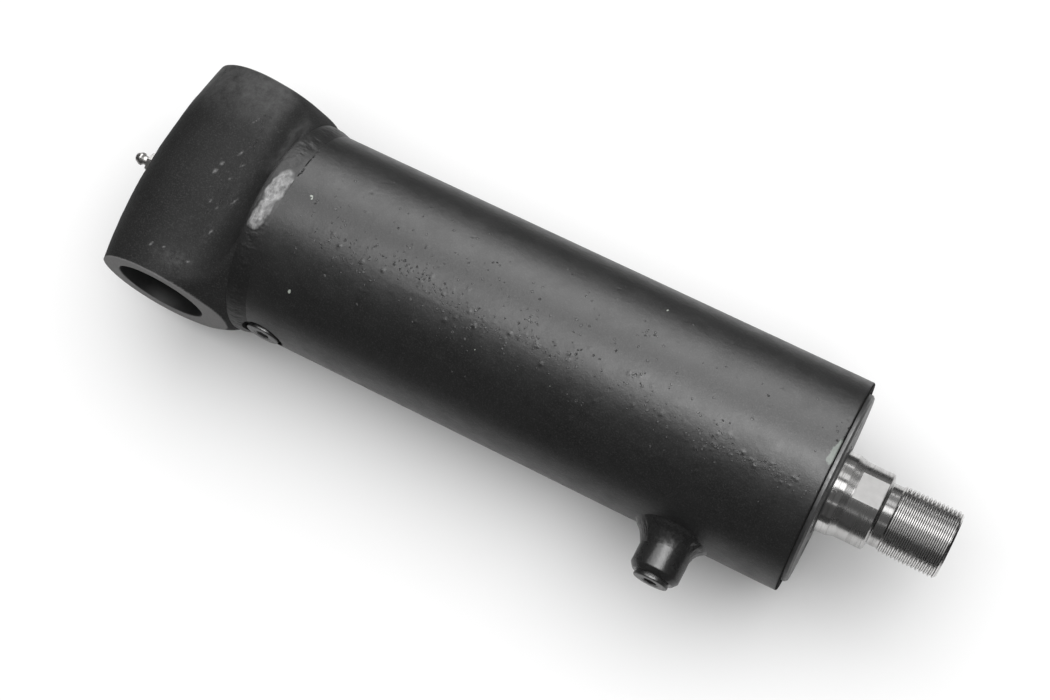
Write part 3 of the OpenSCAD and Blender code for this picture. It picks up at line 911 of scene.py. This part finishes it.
def make_weld_bead(material):
    """The dressed bead at the seam, nearly flush, with two heavy lumps where the weld was closed."""
    around, across = 960, 30
    left, right = SEAM_X - 5.2, SEAM_X + 5.6
    profile_x = (left, left + 1.0, left + 2.6, SEAM_X, SEAM_X + 2.4, SEAM_X + 4.4, right)
    profile_r = (53.9, 54.1, 54.1, 53.8, 53.2, 52.7, 52.42)
    vertices, masks = [], []
    for k in range(around):
        t = TAU * k / around
        arc = math.atan2(math.sin(t), math.cos(t)) * BARREL_R
        loop = Vector((math.sin(t) * 11, math.cos(t) * 11, 0))
        drift = 0.5 * noise.noise(loop)
        vertices.append(along_x(left, BARREL_R - 4, t))
        masks.append(0.0)
        for j in range(across + 1):
            x = left + (right - left) * j / across
            inner = math.sin(math.pi * j / across)
            r = float(np.interp(x + drift * inner, profile_x, profile_r))
            r += 0.16 * inner * noise.fractal(loop * 1.6 + Vector((0, 0, x / 4)), 0.6, 2.0, 3)
            lump, rim = weld_lump(x, arc)
            if lump > 0:
                lump *= 1 + 0.22 * noise.fractal(Vector((x / 2.2, arc / 2.6, 4)), 0.6, 2.0, 3)
            vertices.append(along_x(x, r + lump, t))
            masks.append(rim)
        vertices.append(along_x(right, BARREL_R - 0.6, t))
        masks.append(0.0)
    obj = new_object("weld_bead", vertices, loop_faces(around, across + 3), 60)
    add_mask(obj, "bare", masks)
    combine(obj, port_seat_cutter(), sharp=50)
    return give(obj, "barrel", "weld_paint", ["base_weld_bead"], material)


def make_port_boss(material):
    """The turned boss, with a seat for the plug's flange in its tip."""
    tip = BOSS_TIP
    foot = 47.2
    outline = rounded([
        (foot, 0.0, 0), (foot, BOSS_R, 0), (tip - 2.4, BOSS_R, 1.5), (tip, BOSS_R - 2.0, 0.5),
        (tip, 7.6, 0.2), (tip - 1.4, 6.6, 0), (tip - 5, 6.2, 0), (tip - 5, 0, 0),
    ], 4)
    obj = turned("port_boss", outline, port_placer(BOSS_X), 128)
    return give(obj, "barrel", "port_paint", ["rod_port_boss"], material)


def port_weld_section(t, across):
    """The fillet's outline at one angle round the boss: from the boss, out to the barrel and back."""
    toward_eye = max(0.0, -math.cos(t))
    loop = Vector((math.cos(t), math.sin(t), 0))
    foot = 17.4 + 0.5 * noise.noise(loop * 2.5) + 1.8 * toward_eye
    top = 59.6 + 0.4 * noise.noise(loop * 3) + 2.2 * toward_eye

    def skin(r):
        return math.sqrt(BARREL_R ** 2 - (r * math.sin(t)) ** 2)

    foot_y = skin(foot)
    fullness = 0.25 + 0.55 * toward_eye
    bend_r = BOSS_R + 0.9 + fullness * 2.2
    bend_y = skin(bend_r) + 0.6 + fullness * 3.0
    inner_r = BOSS_R - 1.0
    section = [(foot_y - 2.5, inner_r), (top, inner_r)]
    for j in range(across + 1):
        u = j / across
        a = (1 - u) ** 2 * top + 2 * u * (1 - u) * bend_y + u * u * (foot_y - 0.05)
        r = (1 - u) ** 2 * (BOSS_R + 0.05) + 2 * u * (1 - u) * bend_r + u * u * foot
        inner = math.sin(math.pi * u)
        swell = 0.35 * math.exp(-((u - 0.72) / 0.12) ** 2)
        rough = 0.10 * noise.fractal(loop * 7 + Vector((0, 0, u * 2)), 0.6, 2.0, 3) * inner
        section.append((a + swell * 0.7 + rough, r + swell * 0.7 + rough))
    section.append((foot_y - 2.5, foot - 0.5))
    return section


def make_port_weld(material):
    """A hollow weld fillet from the boss down to the round barrel, fuller on the eye's side."""
    around, across = 360, 24
    place = port_placer(BOSS_X)
    vertices = []
    for k in range(around):
        t = TAU * k / around
        vertices += [place(a, r, t) for a, r in port_weld_section(t, across)]
    obj = new_object("port_weld", vertices, loop_faces(around, across + 4), 50)
    return give(obj, "barrel", "port_paint", ["rod_port_weld"], material)


def make_plug(name, x, top, node, material):
    """A flanged plug: a rounded flange, and a hexagon socket with a small lead-in and a drilled end."""
    around = 96
    key = 3.0
    place = port_placer(x)

    def hexagon(t):
        return key / math.cos((t + math.pi / 6) % (math.pi / 3) - math.pi / 6)

    body = rounded([
        (top - 9.4, 0, 0), (top - 9.4, 5.6, 0), (top - 1.6, 5.6, 0), (top - 1.6, PLUG_R, 0.2),
        (top, PLUG_R, 0.5), (top, 4.6, 0.2), (top - 0.2, 4.3, 0),
    ], 4)
    angles = [TAU * k / around for k in range(around)]
    rows = [[(a, r)] * around for a, r in body]
    for down, lead in ((0.2, 0.2), (0.5, 0), (4.6, 0)):
        rows.append([(top - down, hexagon(t) + lead) for t in angles])
    for down, r in ((4.8, 2.7), (6.0, 0)):
        rows.append([(top - down, r)] * around)
    vertices, faces = [], []
    for row in rows:
        vertices += [place(a, r, t) for (a, r), t in zip(row, angles)]
    for i in range(len(rows) - 1):
        for k in range(around):
            n = (k + 1) % around
            faces.append((i * around + k, i * around + n, (i + 1) * around + n, (i + 1) * around + k))
    obj = new_object(name, vertices, faces)
    return give(obj, "barrel", "plug_steel", [node], material)


def make_rod(chrome, neck_steel, milled, thread_steel):
    """The rod up to the thread's relief: chromed body, turned neck and two wrench flats."""
    flat_start, flat_end = 338.2, 351.0
    piston_seat_end, piston_seat_r = 106.2, 13.5
    neck_start = 337.6
    crisp = 12
    start = rod_low.x / MM
    outline = rounded([
        (start, 0, 0), (start, piston_seat_r - 1, 0), (start + 1, piston_seat_r, 0),
        (piston_seat_end, piston_seat_r, 0), (piston_seat_end, ROD_R, 0), (333.8, ROD_R, 2.0),
        (neck_start, NECK_R, 2.0), (351.2, NECK_R, 0.15), (351.9, NECK_R - 0.9, 0.15),
        (352.6, RELIEF_R, 0.5), (THREAD_START + 0.1, RELIEF_R, 0), (THREAD_START + 0.1, 0, 0),
    ], 8)
    obj = turned("rod_bar", outline, along_x, 256, sharp=crisp)
    for side in (1, -1):
        low, high = sorted((side * FLAT_HALF, side * 30))
        cutter = box_object("cut_flat", (flat_start, -30, low), (flat_end, 30, high))
        cutter.data.transform(Matrix.Rotation(-FLAT_TURN, 4, "X"))
        combine(obj, cutter, sharp=crisp)
    for material in (chrome, neck_steel, milled):
        obj.data.materials.append(material)
    flat_up = Vector((0, math.sin(FLAT_TURN), math.cos(FLAT_TURN)))
    for face in obj.data.polygons:
        c = face.center / MM
        if c.x > 335.2:
            face.material_index = 1
        if abs(face.normal.dot(flat_up)) > 0.999 and abs(c.dot(flat_up)) < FLAT_HALF + 0.05:
            if flat_start - 0.1 < c.x < flat_end + 0.1:
                face.material_index = 2
    give(obj, "rod_and_piston", "rod_chrome", ["rod"])
    thread = make_thread()
    give(thread, "rod_and_piston", "rod_chrome", [], thread_steel)
    return obj, thread


def thread_radius(x, high):
    """The thread's radius at x: high is 1 on the crest and 0 in the root; the ends are chamfered."""
    depth = 1.0
    end_chamfer, start_step, start_slope = 1.5, 0.15, 1.2
    end_limit = THREAD_R - end_chamfer + (ROD_END - x)
    start_limit = RELIEF_R + start_step + (x - THREAD_START) * start_slope
    return min(THREAD_R - depth * (1 - high), end_limit, start_limit)


def make_thread():
    """A real helical thread with chamfered ends, standing on the rod's end."""
    around = 160
    width = around + 1
    start, end = THREAD_START, ROD_END
    turns = int((end - start) / THREAD_PITCH) + 4
    first = start - 2.0 * THREAD_PITCH
    rows = [(i + part, high) for i in range(turns) for part, high in THREAD_PROFILE]
    vertices = []
    for place, high in rows:
        for k in range(width):
            x = min(max(first + (place + k / around) * THREAD_PITCH, start), end)
            vertices.append(along_x(x, thread_radius(x, high), TAU * k / around))
    faces = []
    for i in range(len(rows) - 1):
        for k in range(around):
            face = (i * width + k, i * width + k + 1, (i + 1) * width + k + 1, (i + 1) * width + k)
            places = [vertices[v][0] for v in face]
            if max(places) - min(places) > 1e-6:
                faces.append(face)
    used = sorted({v for face in faces for v in face})
    number = {v: i for i, v in enumerate(used)}
    kept_faces = [tuple(number[v] for v in face) for face in faces]
    obj = new_object("rod_thread", [vertices[v] for v in used], kept_faces, 25)
    close_ends(obj, start, end)
    mask_flanks(obj, first)
    return obj


def mask_flanks(obj, first):
    """Marks the thread's two sloping sides, whose middles stand at half height, for their painted shade.
    """
    points = get_points(obj)
    turn = (np.arctan2(points[:, 1], points[:, 2]) / TAU) % 1.0
    phase = ((points[:, 0] - first) / THREAD_PITCH - turn) % 1.0
    down, up = (part for part, high in THREAD_PROFILE if high == 0.5)
    off_flank = np.minimum(np.abs(phase - down), np.abs(phase - up))
    inside = (points[:, 0] > THREAD_START + 0.02) & (points[:, 0] < ROD_END - 0.02)
    add_mask(obj, "flank_shade", np.where(inside, 1 - smooth_step(off_flank, 0.02, 0.12), 0))


def close_ends(obj, start, end):
    """Caps the thread's two open ends with flat faces."""
    bm = bmesh.new()
    bm.from_mesh(obj.data)
    bmesh.ops.remove_doubles(bm, verts=bm.verts, dist=2e-6)

    def lies_at(edge, x):
        return all(abs(v.co.x / MM - x) < 0.01 for v in edge.verts)

    for x in (start, end):
        rim = [edge for edge in bm.edges if edge.is_boundary and lies_at(edge, x)]
        if rim:
            bmesh.ops.contextual_create(bm, geom=rim)
    bmesh.ops.recalc_face_normals(bm, faces=bm.faces)
    bm.to_mesh(obj.data)
    bm.free()
    shade(obj, 25)


# ------------------------ stage and light

def flat_card(name, corners, faces, material_name, low_tone, high_tone, patch_mm):
    """A matt sheet of the studio, in metres. It isn't part of the object."""
    mesh = bpy.data.meshes.new(name)
    mesh.from_pydata(corners, [], faces)
    card = bpy.data.objects.new(name, mesh)
    bpy.context.scene.collection.objects.link(card)
    m = Nodes(material_name)
    m.set(Base_Color=m.mix(m.noise(patch_mm, 2), grey(low_tone), grey(high_tone)))
    m.set(Roughness=0.9, Specular_IOR_Level=0.0)
    mesh.materials.append(m.material)
    return card


def make_floor():
    half = 3.0
    corners = [(sx * half, sy * half, FLOOR_Z) for sx, sy in SQUARE]
    flat_card("floor", corners, [(0, 1, 2, 3)], "floor_white", 0.80, 0.82, 180)


def make_dark_surround():
    """Dark cards round the object that only reflections see, as in a studio: they end the white floor."""
    near, far = 0.17, 2.9
    level = FLOOR_Z + 0.0008
    middle = BARREL_END * MM / 2
    corners = [
        (middle + sx * w, sy * h, level)
        for w, h in ((near + middle, near), (far, far)) for sx, sy in SQUARE
    ]
    faces = [(k, (k + 1) % 4, 4 + (k + 1) % 4, 4 + k) for k in range(4)]
    card = flat_card("dark_surround", corners, faces, "black_card", 0.04, 0.06, 60)
    for ray in ("camera", "diffuse", "transmission", "volume_scatter", "shadow"):
        setattr(card, "visible_" + ray, False)


LIGHT_DISTANCE = 1.3


def strip_light(name, low_x, high_x, low_angle, high_angle, radiance):
    """A softbox along the row, on an arc over it; angles in degrees from straight up, toward +y."""
    angle = math.radians((low_angle + high_angle) / 2)
    data = bpy.data.lights.new(name, "AREA")
    data.shape = "RECTANGLE"
    data.size = high_x - low_x
    data.size_y = LIGHT_DISTANCE * math.radians(high_angle - low_angle)
    data.energy = math.pi * data.size * data.size_y * radiance
    light = bpy.data.objects.new(name, data)
    out = Vector((0, math.sin(angle), math.cos(angle)))
    along = Vector((1, 0, 0))
    place = out * LIGHT_DISTANCE + along * (low_x + high_x) / 2
    turn = Matrix((along, out.cross(along), out)).transposed()
    light.matrix_world = Matrix.Translation(place) @ turn.to_4x4()
    bpy.context.scene.collection.objects.link(light)
    return light


def shine_on(light, objects):
    """Limits a softbox to the reflections in the given objects."""
    group = bpy.data.collections.new(light.name + "_reflects_in")
    for obj in objects:
        group.objects.link(obj)
    light.light_linking.receiver_collection = group
    light.visible_diffuse = False


# Softboxes that show in the paint only: where they start and end along x, their angles, radiance
PAINT_SOFTBOXES = (
    ("paint_overhead_rod_end", 0.05, 0.85, -12.5, 17, 18.0),
    ("paint_overhead_eye_end", -0.75, 0.05, -12.5, 17, 7.5),
    ("paint_far_side", -0.75, 0.85, 28, 70, 8.5),
)

# Softboxes that show in the bare metal only: their angles, radiance
METAL_SOFTBOXES = (
    ("metal_overhead", -4, 16, 2.2), ("metal_far_bright", 25, 41, 1.25), ("metal_far_side", 42, 64, 0.34),
    ("metal_far_edge", 65, 70, 1.8), ("metal_far_low", 71, 91, 0.22), ("metal_near_high", -42, -9, 0.13),
    ("metal_near_edge", -47, -43, 0.9), ("metal_near_low", -91, -48, 0.08),
)
METAL_REACH = (-0.2, 1.2)


def make_lights(painted, metal):
    """A soft top light for the floor, softboxes for the paint, and narrower ones for the bright metal."""
    world = bpy.data.worlds.new("studio")
    bpy.context.scene.world = world
    world.use_nodes = True
    background = world.node_tree.nodes["Background"]
    background.inputs["Color"].default_value = (1, 1, 1, 1)
    background.inputs["Strength"].default_value = 0.02
    top = strip_light("top_light", -1.2, 1.5, -50, 65, 2.5)
    top.visible_glossy = False
    for softbox in PAINT_SOFTBOXES:
        shine_on(strip_light(*softbox), painted)
    for name, *angles_and_radiance in METAL_SOFTBOXES:
        shine_on(strip_light(name, *METAL_REACH, *angles_and_radiance), metal)
    threads = [piece for piece in metal if "thread" in piece.name]
    shine_on(strip_light("thread_fill", *METAL_REACH, -48, 60, 0.5), threads)


# ------------------------ build

def dress_cad_nodes(looks):
    """CAD solids whose shape is right keep it and take a better material."""
    for node, material in looks.items():
        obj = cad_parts[node]
        obj.data.materials.clear()
        obj.data.materials.append(material)


make_camera()
black_paint = barrel_paint()
# Painted shade: the barrel's end face is painted near black, rough and with little shine, to stand for the
# shadowed gap beside the gland.
end_painted_shade = paint("barrel_end_paint", dark=0.005, light=0.009, rough=0.7, shine=0.02).material
forged = eye_paint()
port_black = gloss_paint()
dark = plug_black()
rubber = soft_plastic("black_rubber", (0.018, 0.018, 0.018))
phenolic = soft_plastic("phenolic_cloth", (0.22, 0.10, 0.05))
chrome = turned_steel("rod_chrome", 0.50, 0.17, 0.006, 0.3)
neck = turned_steel("turned_neck", 0.42, 0.24, 0.016, 0.22)
thread = thread_steel()

painted = [
    make_barrel(black_paint, end_painted_shade), make_eye(forged, bore_steel()), make_weld_bead(weld_paint()),
    make_port_boss(port_black), make_port_weld(port_black),
    make_plug("port_plug_rod_end", BOSS_X, ROD_PLUG_TOP, "rod_port_plug", dark),
    make_plug("port_plug_cap_end", CAP_PORT_X, CAP_PLUG_TOP, "cap_port_plug", dark),
]
metal = list(make_rod(chrome, neck, flat_steel(), thread))
dress_cad_nodes({
    "gland": gland_steel(),
    "rod_port_plug_seal": rubber, "cap_port_plug_seal": rubber, "gland_oring": rubber,
    "rod_wiper": rubber, "piston_static_oring": rubber, "piston_seal_energizer": rubber,
    "gland_backup_ring": soft_plastic("white_ptfe", (0.75, 0.74, 0.68)),
    "rod_seal": soft_plastic("red_polyurethane", (0.45, 0.05, 0.04), 0.35),
    "rod_buffer_seal": soft_plastic("green_polyurethane", (0.03, 0.22, 0.18), 0.35),
    "rod_guide_ring_outer": phenolic, "rod_guide_ring_inner": phenolic,
    "piston_wear_ring_front": phenolic, "piston_wear_ring_rear": phenolic,
    "piston_seal": soft_plastic("bronze_ptfe", (0.2, 0.22, 0.16)),
    "piston": turned_steel("piston_steel", 0.42, 0.3), "piston_nut": plain_steel("nut_steel", 0.4, 0.35),
    "grease_fitting_body": plain_steel("dull_zinc", 0.32, 0.38),
    "grease_fitting_spring": plain_steel("spring_steel", 0.5, 0.3),
    "grease_fitting_ball": plain_steel("ball_steel", 0.7, 0.1),
})
metal_nodes = ("piston", "piston_nut")
metal += [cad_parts[node] for node in metal_nodes]
painted += [obj for node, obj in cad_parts.items() if node not in metal_nodes]
make_floor()
make_dark_surround()
make_lights(painted, metal)
bpy.context.scene.view_settings.view_transform = "Standard"
